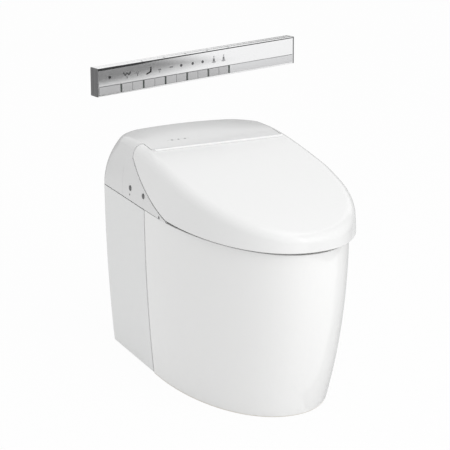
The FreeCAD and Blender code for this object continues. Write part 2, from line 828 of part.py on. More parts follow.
tank_out = box("TankOut", "-tank_half_width", "tank_front_reach", "shelf_height", "2 * tank_half_width",
               "tank_rear_reach - tank_front_reach", "tank_height")
tank_in = box("TankIn", "-tank_half_width + tank_wall", "tank_front_reach + tank_wall",
              "shelf_height + tank_wall", "2 * tank_half_width - 2 * tank_wall",
              "tank_rear_reach - tank_front_reach - 2 * tank_wall", "2 * tank_height")
inlet_level = "shelf_height + inlet_rise"
valve_y = "(tank_front_reach + tank_rear_reach) / 2"
inlet_hole = rod("TankInletHole", "y", "-valve_offset", valve_y, inlet_level,
                 "inlet_radius - inlet_step + hole_clearance", "rear_reach")
stub_level = "shelf_height + stub_rise"
stub_hole = rod("TankStubHole", "y", "pump_offset", "pump_reach", stub_level, "stub_radius + hole_clearance",
                "tank_front_reach - pump_reach + 2 * tank_wall")
node("flush_tank", cut("FlushTank", tank_out, fuse("TankRoom", tank_in, inlet_hole, stub_hole)))
node("flush_tank_lid", box("FlushTankLid", "-tank_half_width", "tank_front_reach",
                           "shelf_height + tank_height", "2 * tank_half_width",
                           "tank_rear_reach - tank_front_reach", "tank_lid_thickness"))
float_low = inlet_level + " + inlet_radius + float_level"
riser = rod("ValveRiser", "z", "-valve_offset", valve_y, "shelf_height + tank_wall", "valve_radius",
            "tank_height - 2 * tank_wall")
collar = rod("ValveCollar", "z", "-valve_offset", valve_y, float_low + " - valve_collar - hole_clearance",
             "valve_radius + valve_collar", "valve_collar")
inlet = rod("ValveInlet", "y", "-valve_offset", valve_y, inlet_level, "inlet_radius - inlet_step",
            "(tank_rear_reach - tank_front_reach) / 2 + inlet_nut")
inlet_flange = rod("ValveFlange", "y", "-valve_offset", "tank_rear_reach + hole_clearance", inlet_level,
                   "inlet_radius + inlet_nut", "inlet_nut")
spigot = rod("ValveSpigot", "y", "-valve_offset", "tank_rear_reach + hole_clearance", inlet_level,
             "inlet_radius", "inlet_spigot")
inlet_bore = rod("ValveBore", "y", "-valve_offset", valve_y, inlet_level, "valve_bore", "rear_reach")
node("fill_valve", cut("FillValve", fuse("ValveBody", riser, collar, inlet, inlet_flange, spigot),
                       inlet_bore))
ring_out = rod("FloatOut", "z", "-valve_offset", valve_y, float_low, "float_radius", "float_height")
ring_in = rod("FloatIn", "z", "-valve_offset", valve_y, float_low + " - 1", "valve_radius + float_clearance",
              "float_height + 2")
node("fill_float", cut("FillFloat", ring_out, ring_in))


# Turning rotors: a shaft, a hub disc and a ring of blades


def rotor(name, x, y, z, shaft_radius, shaft_length, wheel_rise, wheel_radius, wheel_height):
    """Bladed wheel on a shaft as one body, standing on the XY plane of its own place."""
    wheel = doc.addObject("PartDesign::Body", name)
    place(wheel, x, y, z)
    plane = [f for f in wheel.Origin.OriginFeatures if f.Role == "XY_Plane"][0]

    def plan(label, rise):
        drawing = wheel.newObject("Sketcher::SketchObject", name + label)
        drawing.AttachmentSupport = [(plane, "")]
        drawing.MapMode = "FlatFace"
        bind(drawing, "AttachmentOffset.Base.z", rise)
        return drawing

    def pad(label, drawing, length):
        feature = wheel.newObject("PartDesign::Pad", name + label)
        feature.Profile = drawing
        bind(feature, "Length", length)
        return feature

    def disc(label, radius, rise, length):
        drawing = plan(label + "Plan", rise)
        drawing.addGeometry(Part.Circle(Vector(0, 0, 0), Vector(0, 0, 1), 5), False)
        drawing.addConstraint(Sketcher.Constraint("Coincident", 0, 3, -1, 1))
        drawing.addConstraint(Sketcher.Constraint("Radius", 0, 5))
        drawing.renameConstraint(1, "radius")
        bind(drawing, "Constraints.radius", radius)
        return pad(label, drawing, length)

    disc("Shaft", shaft_radius, "0 * blade_thickness", shaft_length)
    disc("Disc", wheel_radius, wheel_rise, "blade_thickness")
    drawing = plan("BladePlan", wheel_rise)
    corners = [Vector(0, -1, 0), Vector(9, -1, 0), Vector(9, 1, 0), Vector(0, 1, 0)]
    for a, b in zip(corners, corners[1:] + corners[:1]):
        drawing.addGeometry(Part.LineSegment(a, b), False)
    for i in range(4):
        drawing.addConstraint(Sketcher.Constraint("Coincident", i, 2, (i + 1) % 4, 1))
    drawing.addConstraint(Sketcher.Constraint("Horizontal", 0))
    drawing.addConstraint(Sketcher.Constraint("Vertical", 1))
    drawing.addConstraint(Sketcher.Constraint("Horizontal", 2))
    drawing.addConstraint(Sketcher.Constraint("Symmetric", 0, 1, 3, 1, -1, 1))
    drawing.addConstraint(Sketcher.Constraint("DistanceX", 0, 1, 0, 2, 9))
    drawing.addConstraint(Sketcher.Constraint("DistanceY", 1, 1, 1, 2, 2))
    drawing.renameConstraint(8, "reach")
    drawing.renameConstraint(9, "thick")
    bind(drawing, "Constraints.reach", wheel_radius)
    bind(drawing, "Constraints.thick", "blade_thickness")
    blade = pad("Blade", drawing, wheel_height)
    ring = wheel.newObject("PartDesign::PolarPattern", name + "Blades")
    ring.Originals = [blade]
    ring.Axis = (drawing, ["N_Axis"])
    ring.Angle = 360
    bind(ring, "Occurrences", "rotor_blades")
    wheel.Tip = ring
    return wheel


# Jet pump, its rotor and the pipe to the bowl

pump_out = rod("PumpOut", "z", "pump_offset", "pump_reach", "shelf_height", "pump_radius", "pump_height")
pump_in = rod("PumpIn", "z", "pump_offset", "pump_reach", "shelf_height + pump_wall",
              "pump_radius - pump_wall", "pump_height - 2 * pump_wall")
pump_bearing = rod("PumpBearing", "z", "pump_offset", "pump_reach", "shelf_height",
                   "pump_shaft_radius + shaft_fit", "2 * pump_height")
stub = rod("PumpStub", "y", "pump_offset", "pump_reach + pump_radius - pump_wall", stub_level, "stub_radius",
           "tank_front_reach + tank_wall - pump_reach - pump_radius + pump_wall")
stub_bore = rod("PumpStubBore", "y", "pump_offset", "pump_reach", stub_level, "stub_radius - pump_wall",
                "tank_rear_reach")
node("jet_pump_housing", cut("JetPump", fuse("PumpBody", pump_out, stub),
                             fuse("PumpRoom", pump_in, pump_bearing, stub_bore)))
node("jet_pump_rotor", rotor("PumpRotor", "pump_offset", "pump_reach", "shelf_height + hole_clearance",
                             "pump_shaft_radius", "pump_height - 2 * hole_clearance",
                             "2 * rotor_clearance + pump_wall",
                             "pump_radius - pump_wall - rotor_clearance", "pump_height / 4"))
pipe_start = "-bowl_centre + bowl_half_length - 20"
pipe_length = "pump_reach - pump_radius - hole_clearance - (%s)" % pipe_start
pipe_out = rod("PipeOut", "y", "pump_offset", pipe_start, pipe_level, "pipe_radius", pipe_length)
pipe_in = rod("PipeIn", "y", "pump_offset", pipe_start + " - 1", pipe_level, "pipe_radius - pipe_wall",
              "2 * rear_reach")
node("flush_pipe", cut("FlushPipe", pipe_out, pipe_in))
seal_out = rod("SealOut", "z", "0", "0", "0", "trap_bore + trap_wall + seal_width", "seal_height")
seal_in = rod("SealIn", "z", "0", "0", "-1", "trap_bore + trap_wall + hole_clearance", "seal_height + 2")
node("outlet_seal", cut("OutletSeal", seal_out, seal_in))

# Upper machine bay: base plate, wash wand, dryer, heater, boards and cord gland

node("base_plate", box("BasePlate", "-frame_half_width", "-base_front_reach", "rim_height",
                       "2 * frame_half_width", "base_front_reach + base_rear_reach", "base_thickness"))


def wand_rod(name, along, radius, length):
    """Cylinder on the sloping wand axis, measured back and up from where the wand passes the rim."""
    obj = doc.addObject("Part::Cylinder", name)
    bind(obj, "Radius", radius)
    bind(obj, "Height", length)
    obj.Placement.Rotation = FreeCAD.Rotation(Vector(-1, 0, 0), 60)
    bind(obj, "Placement.Rotation.Angle", "90 - wand_angle")
    return place(obj, "0", "-wand_pass_reach + (%s) * cos(wand_angle)" % along,
                 "wand_pass_height + (%s) * sin(wand_angle)" % along)


wand_start = "wand_tip_setback + wand_cap"
wand_out = wand_rod("WandOut", wand_start, "wand_radius", "wand_length")
wand_in = wand_rod("WandIn", wand_start + " + wand_radius", "wand_bore", "wand_length")
node("wash_wand", cut("WashWand", wand_out, wand_in))
node("wand_tip", wand_rod("WandTip", "wand_tip_setback", "wand_radius + wand_fit", "wand_cap"))
guide_out = wand_rod("GuideOut", "guide_start", "wand_radius + wand_fit + guide_wall", "guide_length")
guide_in = wand_rod("GuideIn", "0", "wand_radius + wand_fit", "2 * wand_length")
pedestal = box("GuidePedestal", "-pedestal_half_width", "pedestal_reach", "rim_height + base_thickness",
               "2 * pedestal_half_width", "2 * pedestal_half_width",
               "wand_pass_height + (wand_pass_reach + pedestal_reach) * tan(wand_angle)"
               " - rim_height - base_thickness")
node("wand_guide", cut("WandGuide", fuse("GuideBody", guide_out, pedestal), guide_in))
node("wand_drive", box("WandDrive", "wand_radius + wand_fit + guide_wall + hole_clearance", "motor_reach",
                       "motor_height", "motor_width", "motor_depth", "motor_depth"))

fan_low = "rim_height + base_thickness"
fan_out = rod("FanOut", "z", "dryer_offset", "dryer_reach", fan_low, "dryer_radius", "dryer_height")
fan_in = rod("FanIn", "z", "dryer_offset", "dryer_reach", fan_low + " + dryer_wall",
             "dryer_radius - dryer_wall", "dryer_height - 2 * dryer_wall")
fan_bearing = rod("FanBearing", "z", "dryer_offset", "dryer_reach", fan_low,
                  "pump_shaft_radius + shaft_fit", "2 * dryer_height")
fan_mouth = box("FanMouth", "dryer_offset - duct_half_width + dryer_wall",
                "dryer_reach - 2 * dryer_radius", fan_low + " + duct_rise + dryer_wall",
                "2 * duct_half_width - 2 * dryer_wall", "2 * dryer_radius",
                "duct_height - 2 * dryer_wall")
node("dryer_housing", cut("DryerHousing", fan_out, fuse("FanRoom", fan_in, fan_bearing, fan_mouth)))
node("dryer_rotor", rotor("DryerRotor", "dryer_offset", "dryer_reach", fan_low + " + hole_clearance",
                          "pump_shaft_radius", "dryer_height - 2 * hole_clearance",
                          "rotor_clearance + dryer_wall", "dryer_radius - dryer_wall - rotor_clearance",
                          "dryer_height - 2 * dryer_wall - 3 * rotor_clearance"))
duct_length = "tower_front + dryer_reach - dryer_radius - 2 * hole_clearance"
duct_out = box("DuctOut", "dryer_offset - duct_half_width", "-tower_front + hole_clearance",
               fan_low + " + duct_rise", "2 * duct_half_width", duct_length, "duct_height")
duct_in = box("DuctIn", "dryer_offset - duct_half_width + dryer_wall", "-2 * tower_front",
              fan_low + " + duct_rise + dryer_wall", "2 * duct_half_width - 2 * dryer_wall",
              "2 * rear_reach", "duct_height - 2 * dryer_wall")
node("dryer_duct", cut("DryerDuct", duct_out, duct_in))
flap_front = "-tower_front - flap_gap - flap_thickness"
flap_pin_level = fan_low + " + duct_rise + duct_height + flap_ear"
flap_plate = box("FlapPlate", "dryer_offset - duct_half_width + flap_gap", flap_front,
                 fan_low + " + duct_rise", "2 * duct_half_width - 2 * flap_gap", "flap_thickness",
                 "duct_height + flap_ear")
flap_pin = rod("FlapPin", "x", "dryer_offset - duct_half_width - flap_ear",
               flap_front + " + flap_thickness / 2", flap_pin_level, "flap_pin_radius",
               "2 * duct_half_width + 2 * flap_ear")
node("dryer_flap", fuse("DryerFlap", flap_plate, flap_pin))

unit_low = "rim_height + base_thickness"
node("water_heater", box("WaterHeater", "-heater_offset - heater_width / 2", "unit_reach", unit_low,
                         "heater_width", "heater_depth", "heater_height"))
node("power_supply", box("PowerSupply", "heater_offset - heater_width / 2", "unit_reach", unit_low,
                         "heater_width", "heater_depth", "supply_height"))
pcb = box("MainBoard", "-board_half_width", "unit_reach", unit_low, "2 * board_half_width", "board_depth",
          "board_thickness")
chip = box("MainChip", "-board_half_width / 2", "unit_reach + board_depth / 4", unit_low,
           "board_half_width / 2", "board_depth / 4", "3 * board_thickness")
relay = box("MainRelay", "board_half_width / 4", "unit_reach + board_depth / 2", unit_low,
            "board_half_width / 2", "board_depth / 4", "8 * board_thickness")
node("control_board", fuse("ControlBoard", pcb, chip, relay))
gland_out = rod("GlandOut", "y", "gland_offset", "rear_reach - 2 * gland_radius", "gland_height",
                "gland_radius", "2 * gland_radius")
gland_nut = rod("GlandNut", "y", "gland_offset", "rear_reach - 2 * gland_radius", "gland_height",
                "gland_radius + shell_wall", "2 * shell_wall")
gland_in = rod("GlandIn", "y", "gland_offset", "rear_reach / 2", "gland_height", "gland_bore", "rear_reach")
node("cord_gland", cut("CordGland", fuse("GlandBody", gland_out, gland_nut), gland_in))

# Flush buttons on the left cheek and the indicator lens on top

for name, reach in (("front", "button_front_reach"), ("rear", "button_rear_reach")):
    tip = "-half_width - button_proud + hole_clearance"
    stem = rod("ButtonStem_" + name, "x", tip, reach, "button_height", "button_radius", "button_depth")
    collar = rod("ButtonCollar_" + name, "x", tip + " + button_proud + shell_wall + button_seat", reach,
                 "button_height", "button_flange", "button_travel")
    node("flush_button_" + name, fuse("FlushButton_" + name, stem, collar))
node("indicator_lens", solid("Lens", lens_block(0).common(outside)))

# Wall remote: two half shells, keys, board and cells, hung on a bracket.
# It is drawn about the middle of the bracket's wall face, then set in its place and turned.


def hang(name, obj):
    """Name a piece of the remote and set it at the bracket's place and turn."""
    hung = doc.addObject("Part::Compound", "Hung_" + name)
    hung.Links = [obj]
    hung.Placement.Rotation = FreeCAD.Rotation(Vector(0, 0, 1), 1)
    bind(hung, "Placement.Rotation.Angle", "remote_turn")
    node(name, place(hung, "remote_centre", "wall_reach", "remote_height"))


bracket_y = "-bracket_thickness"
face_y = bracket_y + " - remote_depth"
split_y = bracket_y + " - remote_split"
left_x = "-remote_length / 2"
low_z = "-remote_face / 2"
front_out = box("RemoteFrontOut", left_x, face_y, low_z, "remote_length", "remote_depth - remote_split",
                "remote_face")
front_in = box("RemoteFrontIn", left_x + " + remote_wall", face_y + " + remote_wall",
               low_z + " + remote_wall", "remote_length - 2 * remote_wall", "remote_depth",
               "remote_face - 2 * remote_wall")
key_low = low_z + " + key_row_margin"
key_slot = box("RemoteKeySlot", left_x + " + key_margin", face_y + " - remote_wall", key_low,
               "remote_length - 2 * key_margin", "3 * remote_wall", "key_row")
hang("remote_front_case", cut("RemoteFrontCase", front_out, fuse("RemoteFrontRoom", front_in, key_slot)))

back_out = box("RemoteBackOut", left_x, split_y, low_z, "remote_length", "remote_split", "remote_face")
back_in = box("RemoteBackIn", left_x + " + remote_wall", split_y + " - remote_wall", low_z + " + remote_wall",
              "remote_length - 2 * remote_wall", "remote_split", "remote_face - 2 * remote_wall")
slots = [back_in]
hooks = []
for side, name in ((-1, "Left"), (1, "Right")):
    x = "%d * hook_pitch" % side
    hook_low = "-hook_height / 2"
    slots.append(box("HookSlot" + name, x + " - hook_half_width - hook_clearance",
                     bracket_y + " - 2 * hook_depth", low_z + " - remote_wall",
                     "2 * hook_half_width + 2 * hook_clearance", "3 * hook_depth",
                     "remote_face / 2 + hook_height / 2 + hook_clearance + remote_wall"))
    slots.append(box("HookHeadSlot" + name, x + " - hook_half_width - hook_head - hook_clearance",
                     bracket_y + " - 2 * hook_depth", low_z + " - remote_wall",
                     "2 * hook_half_width + 2 * hook_head + 2 * hook_clearance",
                     "2 * hook_depth - remote_wall", "remote_face / 3 + remote_wall"))
    hooks.append(box("HookStem" + name, x + " - hook_half_width", bracket_y + " - hook_depth", hook_low,
                     "2 * hook_half_width", "hook_depth + bracket_thickness", "hook_height"))
    hooks.append(box("HookHead" + name, x + " - hook_half_width - hook_head", bracket_y + " - hook_depth",
                     hook_low, "2 * hook_half_width + 2 * hook_head", "hook_head_depth", "hook_height"))
hang("remote_back_cover", cut("RemoteBackCover", back_out, fuse("RemoteBackRoom", *slots)))
plate = box("BracketPlate", "-bracket_half_length", bracket_y, "-bracket_half_height",
            "2 * bracket_half_length", "bracket_thickness", "2 * bracket_half_height")
screw_holes = [rod("BracketHole%d" % i, "y", "%d * bracket_hole_pitch / 2" % i, "-2 * bracket_thickness", "0",
                   "bracket_hole_radius", "3 * bracket_thickness") for i in (-1, 1)]
hang("remote_wall_bracket", cut("RemoteBracket", fuse("BracketBody", plate, *hooks),
                                fuse("BracketHoles", *screw_holes)))


def key(name, x, width):
    """Key cap with a lip behind the face that keeps it in."""
    cap = box("Cap_" + name, x + " + key_gap / 2", face_y + " - key_proud", key_low + " + key_gap / 2",
              width + " - key_gap", "key_depth", "key_row - key_gap")
    lip = box("Lip_" + name, x + " + key_gap / 2", face_y + " + remote_wall + hook_clearance",
              key_low + " + key_gap / 2", width + " - key_gap", "key_flange", "key_row + key_flange")
    hang(name, fuse("Key_" + name, cap, lip))


def key_start(i):
    """Left edge of a narrow key: the keys stand in pairs with a wider gap between pairs."""
    return left_x + " + key_margin + 2 * key_pitch + %d * pair_gap + %d * key_pitch" % (i // 2 + 1, i)


key("remote_stop_button", left_x + " + key_margin", "2 * key_pitch")
count = int(d("key_count"))
for i in range(count):
    key("remote_button_%02d" % (i + 1), key_start(i), "key_pitch")
strip_x = key_start(count) + " + key_gap / 2"
hang("remote_end_strip", box("RemoteEndStrip", strip_x, face_y + " - key_proud / 2",
                             key_low + " + hook_clearance / 2",
                             "remote_length / 2 - key_margin - hook_clearance / 2 - (%s)" % strip_x,
                             "remote_wall + key_proud", "key_row - hook_clearance"))
board_y = face_y + " - key_proud + key_depth + key_travel + hook_clearance"
hang("remote_board", box("RemoteBoard", left_x + " + pcb_margin", board_y,
                         low_z + " + remote_wall + hook_clearance", "remote_length - 2 * pcb_margin",
                         "pcb_thickness", "remote_face - 2 * remote_wall - 2 * hook_clearance"))
cell_y = board_y + " + pcb_thickness + hook_clearance + cell_radius"
for name, x in (("left", "-cell_gap / 2 - cell_length"), ("right", "cell_gap / 2")):
    hang("remote_cell_" + name, rod("RemoteCell_" + name, "x", x, cell_y, "cell_rise", "cell_radius",
                                    "cell_length"))

doc.recompute()
faults = [o.Label for o in doc.Objects if "Invalid" in o.State or "Error" in o.State]
faults += [o.Label for o in nodes if o.Shape.isNull() or not o.Shape.isValid()]
print("faults", faults)
os.makedirs("parts", exist_ok=True)
for obj in nodes:
    obj.Shape.exportStep("parts/%s.step" % obj.Label)
    print(obj.Label, len(obj.Shape.Solids), round(obj.Shape.Volume / 1000, 1))
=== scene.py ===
import json
import math

import bmesh
import bpy
from mathutils import Matrix, Vector


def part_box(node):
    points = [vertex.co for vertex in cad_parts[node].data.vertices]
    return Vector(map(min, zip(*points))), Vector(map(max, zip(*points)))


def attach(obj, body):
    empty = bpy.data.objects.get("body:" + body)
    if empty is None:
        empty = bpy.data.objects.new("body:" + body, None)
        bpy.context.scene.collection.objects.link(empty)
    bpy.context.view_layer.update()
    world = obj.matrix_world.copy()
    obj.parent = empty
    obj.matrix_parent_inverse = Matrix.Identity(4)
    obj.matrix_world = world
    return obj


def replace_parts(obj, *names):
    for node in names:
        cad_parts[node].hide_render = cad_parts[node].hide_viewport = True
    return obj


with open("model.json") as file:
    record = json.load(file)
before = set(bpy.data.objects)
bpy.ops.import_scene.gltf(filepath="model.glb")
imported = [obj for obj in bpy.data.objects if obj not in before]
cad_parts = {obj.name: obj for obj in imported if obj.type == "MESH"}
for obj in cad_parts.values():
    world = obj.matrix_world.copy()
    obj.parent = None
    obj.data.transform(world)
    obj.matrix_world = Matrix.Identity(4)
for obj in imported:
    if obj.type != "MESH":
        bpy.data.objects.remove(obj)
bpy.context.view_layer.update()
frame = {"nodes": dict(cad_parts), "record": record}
scene = bpy.context.scene
scene.view_settings.view_transform = "Standard"

# Studio: a pale floor and soft lamps in front of the toilet, seen from the product picture's angle.
# The floor and the air behind it read as white to the eye, and the floor keeps a faint shadow.
# Boards that only mirrors show give the white shapes dark contours; the remote's own one thins out.


class Tone:
    """A shader value; sums on it add Math nodes to its tree."""

    def __init__(self, tree, socket):
        self.tree = tree
        self.socket = socket

    def math(self, operation, first, second):
        """Adds one Math node with two values or tones."""
        node = self.tree.nodes.new("ShaderNodeMath")
        node.operation = operation
        for port, value in zip(node.inputs, (first, second)):
            if isinstance(value, Tone):
                self.tree.links.new(value.socket, port)
            else:
                port.default_value = value
        return Tone(self.tree, node.outputs[0])

    def __add__(self, other):
        return self.math("ADD", self, other)

    def __sub__(self, other):
        return self.math("SUBTRACT", self, other)

    def __rsub__(self, other):
        return self.math("SUBTRACT", other, self)

    def __mul__(self, other):
        return self.math("MULTIPLY", self, other)

    def __gt__(self, other):
        return self.math("GREATER_THAN", self, other)

    def __lt__(self, other):
        return self.math("LESS_THAN", self, other)

    __radd__ = __add__
    __rmul__ = __mul__


def make(tree, kind, settings=None, sockets=None, output=0):
    """Adds one node: its settings first, then the values or links of its sockets."""
    node = tree.nodes.new("ShaderNode" + kind)
    for name, value in (settings or {}).items():
        setattr(node, name, value)
    for name, value in (sockets or {}).items():
        if isinstance(value, Tone):
            tree.links.new(value.socket, node.inputs[name])
        else:
            node.inputs[name].default_value = value
    return Tone(tree, node.outputs[output])


def seen_rays(tree):
    """One where a ray comes from the eye or from a mirror, none where it only lights."""
    path = make(tree, "LightPath").socket.node
    names = ("Is Camera Ray", "Is Glossy Ray", "Is Transmission Ray")
    rays = [Tone(tree, path.outputs[name]) for name in names]
    return rays[0] + rays[1] + rays[2]


air_light = 0.74
world = bpy.data.worlds.new("studio_air")
scene.world = world
world.use_nodes = True
sky = world.node_tree
sky.nodes.remove(sky.nodes["Background"])
dim = make(sky, "Background", None, {"Color": (1, 1, 1, 1), "Strength": air_light})
bright = make(sky, "Background", None, {"Color": (1, 1, 1, 1), "Strength": 1.0})
air = make(sky, "MixShader", None, {0: seen_rays(sky), 1: dim, 2: bright})
sky.links.new(air.socket, sky.nodes["World Output"].inputs["Surface"])


def board(name, across, tall, matrix):
    """Flat board of the studio, which is no part of the toilet."""
    mesh = bpy.data.meshes.new(name)
    bm = bmesh.new()
    bmesh.ops.create_grid(bm, x_segments=1, y_segments=1, size=0.5)
    bmesh.ops.transform(bm, matrix=matrix @ Matrix.Diagonal((across, tall, 1, 1)), verts=bm.verts)
    bm.to_mesh(mesh)
    bm.free()
    piece = bpy.data.objects.new(name, mesh)
    scene.collection.objects.link(piece)
    paint = bpy.data.materials.new(name)
    paint.use_nodes = True
    mesh.materials.append(paint)
    return piece, paint.node_tree


floor_reach = 24
floor_drop = -0.0006
floor_white = 0.86
floor_glow = 0.955
_, tree = board("studio_floor", floor_reach, floor_reach, Matrix.Translation((0, 0, floor_drop)))
tree.nodes.remove(tree.nodes["Principled BSDF"])
matt = make(tree, "BsdfDiffuse", None, {"Color": (floor_white, floor_white, floor_white, 1)})
glow = make(tree, "Emission", None, {"Color": (1, 1, 1, 1), "Strength": 1.0})
top = make(tree, "MixShader", None, {0: seen_rays(tree) * floor_glow, 1: matt, 2: glow})
tree.links.new(top.socket, tree.nodes["Material Output"].inputs["Surface"])


def flag(name, across, tall, matrix, shade):
    """Grey board that only mirrors show."""
    piece, tree = board(name, across, tall, matrix)
    piece.visible_camera = False
    piece.visible_diffuse = False
    piece.visible_shadow = False
    tree.nodes["Principled BSDF"].inputs["Base Color"].default_value = (shade, shade, shade, 1)
    tree.nodes["Principled BSDF"].inputs["Roughness"].default_value = 1.0
    return tree


def stood(spot, turn):
    """Place of a piece that stands turned about the upright."""
    return Matrix.Translation(spot) @ Matrix.Rotation(turn, 4, "Z")


def position(tree):
    """Position on a piece in metres."""
    return make(tree, "TexCoord", None, None, "Object")


def square_to(tree, centre, turn, axis):
    """Position along one axis of a piece that stands turned about the upright, from its centre."""
    square = make(tree, "Mapping", {"vector_type": "TEXTURE"},
                  {"Vector": position(tree), "Location": centre, "Rotation": (0, 0, turn)})
    return make(tree, "SeparateXYZ", None, {"Vector": square}, axis)


view_turn = math.radians(-25.1515)
view_drop = math.radians(16.9022)
view_roll = math.radians(-0.11)
upright = Matrix.Rotation(math.pi / 2, 4, "X")
flag("back_flag", 3.4, 0.84, stood((0.62, 1.30, 0.42), view_turn) @ upright, 0.42)
side_centre = (0.2447, -0.3569, 0.62)
side_turn = math.radians(49.7)
flag_cover = 1.638
flag_thinning = 4.6
tree = flag("side_flag", 0.712, 0.62, stood(side_centre, side_turn) @ upright, 0.02)
thin = flag_cover - square_to(tree, side_centre, side_turn, "X") * flag_thinning
tree.links.new(thin.math("MINIMUM", thin, 1.0).socket, tree.nodes["Principled BSDF"].inputs["Alpha"])
flag("floor_flag", 1.8, 1.72, Matrix.Translation((0.93, 0.51, 0.004)), 0.62)


def lamp(name, spot, aim, size, watts):
    """Square soft lamp at a spot, turned to what it lights."""
    data = bpy.data.lights.new(name, "AREA")
    data.size = size
    data.energy = watts
    holder = bpy.data.objects.new(name, data)
    holder.location = spot
    holder.rotation_euler = (Vector(aim) - Vector(spot)).to_track_quat("-Z", "Y").to_euler()
    scene.collection.objects.link(holder)


lamp("front_key", (1.25, -3.45, 1.9), (0, 0, 0.3), 2.4, 43)
lamp("top_fill", (0.2, -0.8, 3.0), (0, -0.1, 0.4), 2.2, 8)

eye = bpy.data.cameras.new("product_view")
eye.lens = 148.13
eye.sensor_width = 36
viewer = bpy.data.objects.new("product_view", eye)
stand = stood((-1.67514, -3.52447, 1.52207), view_turn)
tilt = Matrix.Rotation(math.pi / 2 - view_drop, 4, "X")
viewer.matrix_world = stand @ tilt @ Matrix.Rotation(view_roll, 4, "Z")
scene.collection.objects.link(viewer)
scene.camera = viewer

# China bowl: slip-cast vitreous china in one firing, with a clear-coated white glaze.
# The foot that stood on the kiln shelf is left without glaze.


class Finish:
    """One material: fixed shader settings, and what varies over the surface."""

    def __init__(self, name, colour, roughness, settings=None):
        self.material = bpy.data.materials.new(name)
        self.material.use_nodes = True
        self.tree = self.material.node_tree
        self.shader = self.tree.nodes["Principled BSDF"]
        self.shader.inputs["Base Color"].default_value = (*colour, 1)
        self.shader.inputs["Roughness"].default_value = roughness
        self.colour = (*colour, 1)
        for socket, value in (settings or {}).items():
            self.shader.inputs[socket].default_value = value

    def feed(self, socket, tone):
        """Lets a varying value drive one socket of the shader."""
        self.tree.links.new(tone.socket, self.shader.inputs[socket])

    def place(self, stretch=(1, 1, 1)):
        """Position on the piece in metres, stretched along the axes."""
        return make(self.tree, "Mapping", None, {"Vector": position(self.tree), "Scale": stretch})

    def along(self, axis):
        """Position along one axis in metres."""
        return make(self.tree, "SeparateXYZ", None, {"Vector": position(self.tree)}, axis)

    def cloud(self, scale, detail=2.0, stretch=(1, 1, 1)):
        """Soft noise from 0 to 1, with so many spots to the metre."""
        sockets = {"Vector": self.place(stretch), "Scale": scale, "Detail": detail}
        return make(self.tree, "TexNoise", None, sockets)

    def cells(self, scale):
        """Random tone of each cell of a cracked pattern."""
        cell = make(self.tree, "TexVoronoi", None, {"Vector": self.place(), "Scale": scale}, "Color")
        return make(self.tree, "SeparateColor", None, {"Color": cell})

    def tint(self, share, other):
        """Base colour that goes over to another colour."""
        colours = {0: share, 6: self.colour, 7: (*other, 1)}
        self.feed("Base Color", make(self.tree, "Mix", {"data_type": "RGBA"}, colours, 2))

    def bump(self, height, depth, strength=1.0):
        """Fine relief of a depth in metres."""
        lift = {"Height": height, "Distance": depth, "Strength": strength}
        self.feed("Normal", make(self.tree, "Bump", None, lift, "Normal"))


def dress(finish, *names):
    """Gives solids of the frame their finish."""
    for name in names:
        solid = frame["nodes"][name]
        solid.data.materials.clear()
        solid.data.materials.append(finish.material)


bare_height = 0.0022
glaze = Finish("white_glaze", (0.925, 0.926, 0.922), 0.14,
               {"Coat Weight": 0.35, "Coat Roughness": 0.05})
bare_foot = glaze.along("Z") < bare_height
glaze.tint(bare_foot + glaze.cloud(2.5) * 0.03, (0.80, 0.77, 0.71))
glaze.feed("Roughness", glaze.cloud(14) * 0.06 + bare_foot * 0.6 + 0.11)
glaze.bump(glaze.cloud(38, 1.0), 0.0006, 0.12)
dress(glaze, *(name for name in frame["nodes"] if name.startswith("bowl_")))

# Rear frame: galvanised sheet steel, cut and folded, which carries the tank and bolts to the floor.
# The remote's wall bracket and the power supply's case are of the same sheet.


def settle(name, bm, finish, body, crease=35):
    """Turns a bmesh into a piece that rides on one body of the frame."""
    mesh = bpy.data.meshes.new(name)
    bm.to_mesh(mesh)
    bm.free()
    mesh.materials.append(finish.material)
    mesh.shade_smooth()
    mesh.set_sharp_from_angle(angle=math.radians(crease))
    piece = bpy.data.objects.new(name, mesh)
    scene.collection.objects.link(piece)
    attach(piece, body)
    return piece


def round_over(bm, width, segments, least=30):
    """Rounds the edges that turn by more than so many degrees."""
    sharp = [e for e in bm.edges if e.is_manifold and e.calc_face_angle() > math.radians(least)]
    bmesh.ops.bevel(bm, geom=sharp, offset=width, segments=segments, profile=0.5, affect="EDGES",
                    clamp_overlap=True, material=-1)


def merged(node):
    """Copy of a solid of the frame with its corners joined."""
    bm = bmesh.new()
    bm.from_mesh(frame["nodes"][node].data)
    bmesh.ops.remove_doubles(bm, verts=bm.verts, dist=2e-6)
    return bm


def whole_faces(bm, degrees):
    """Joins the triangles that lie flat to so many degrees."""
    bmesh.ops.dissolve_limit(bm, angle_limit=math.radians(degrees), verts=bm.verts, edges=bm.edges)


def soften(node, width, finish, body, segments=2):
    """Piece in place of a sharp-edged solid, with its edges rounded over."""
    bm = merged(node)
    whole_faces(bm, 1)
    round_over(bm, width, segments)
    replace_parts(settle(node + "_soft", bm, finish, body), node)


zinc = Finish("galvanised_sheet", (0.50, 0.51, 0.52), 0.42, {"Metallic": 0.85})
spangle = zinc.cells(140)
zinc.tint(spangle * 0.55, (0.36, 0.37, 0.39))
zinc.feed("Roughness", spangle * 0.16 + zinc.cloud(60) * 0.1 + 0.30)
zinc.bump(zinc.cloud(700, 3.0), 0.0001, 0.2)
dress(zinc, "rear_frame", "remote_wall_bracket")
soften("power_supply", 0.0015, zinc, "toilet_body")

# Flush tank: blow-moulded with upright ribs, a lid, a fill valve through its rear wall and a float.
# The milky plastic has the fine grain of its mould, and a hexagon nut clamps the valve's spigot.


def touch(node, start, way):
    """Point and outward direction where a straight line first meets a solid."""
    _, point, normal, _ = frame["nodes"][node].ray_cast(Vector(start), Vector(way))
    return point, normal


